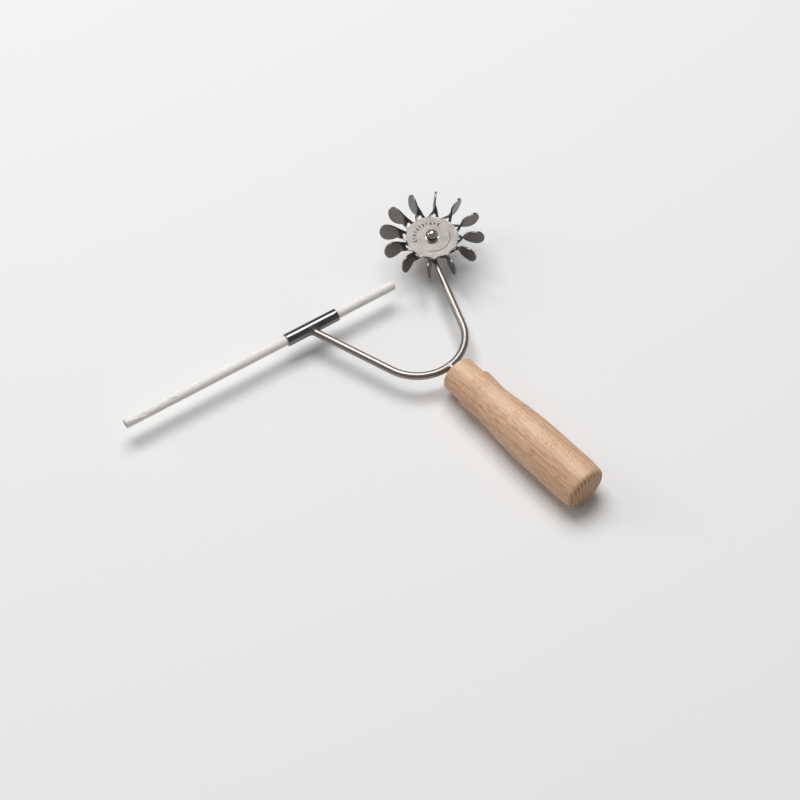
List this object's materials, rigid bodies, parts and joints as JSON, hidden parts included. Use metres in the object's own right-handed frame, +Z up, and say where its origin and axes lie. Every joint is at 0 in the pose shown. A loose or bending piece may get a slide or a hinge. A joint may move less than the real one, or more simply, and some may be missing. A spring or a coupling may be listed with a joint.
{
  "type": "hand-held blow wheel",
  "caption": "Wooden-gripped bent steel fork that aims a drinking straw at a free-spinning wheel of twisted sheet-steel blades.",
  "frame": {"origin": "centre of the grip's flat butt face, on the grip's axis", "axes": "+Y along the grip towards the fork, +X across the fork towards the bladed wheel, +Z up from the surface the tool lies on, along the wheel's axle"},
  "size_m": [0.2728, 0.2381, 0.0327],
  "materials": {
    "beech": "waxed steamed beech, fine long grain with dark flecks",
    "rod_steel": "satin drawn stainless rod",
    "sleeve_steel": "bright drawn stainless tube",
    "pin_chrome": "polished ball head",
    "wheel_steel": "tumbled stainless sheet with a fine grain",
    "straw_plastic": "thin white extruded plastic",
    "wrapper_paper": "thin uncoated white paper, slightly creased"
  },
  "bodies": {
    "frame": {"grip": "beech", "tang": "rod_steel", "fork_rod": "rod_steel", "straw_sleeve": "sleeve_steel", "thrust_washer": "rod_steel", "hub_pin": "pin_chrome"},
    "wheel": {"blade_wheel": "wheel_steel", "hub_bush": "wheel_steel"},
    "straw_body": {"straw": "straw_plastic", "straw_wrapper": "wrapper_paper"}
  },
  "joints": [
    {"name": "wheel_spin", "type": "hinge", "parent": "frame", "child": "wheel", "pos_m": [0.0579, 0.2042, 0.0074], "axis": [0, 0, 1], "continuous": true},
    {"name": "straw_slide", "type": "slide", "parent": "frame", "child": "straw_body", "axis": [0.9882, -0.153, 0], "range_m": [-0.04, 0.014]}
  ]
}
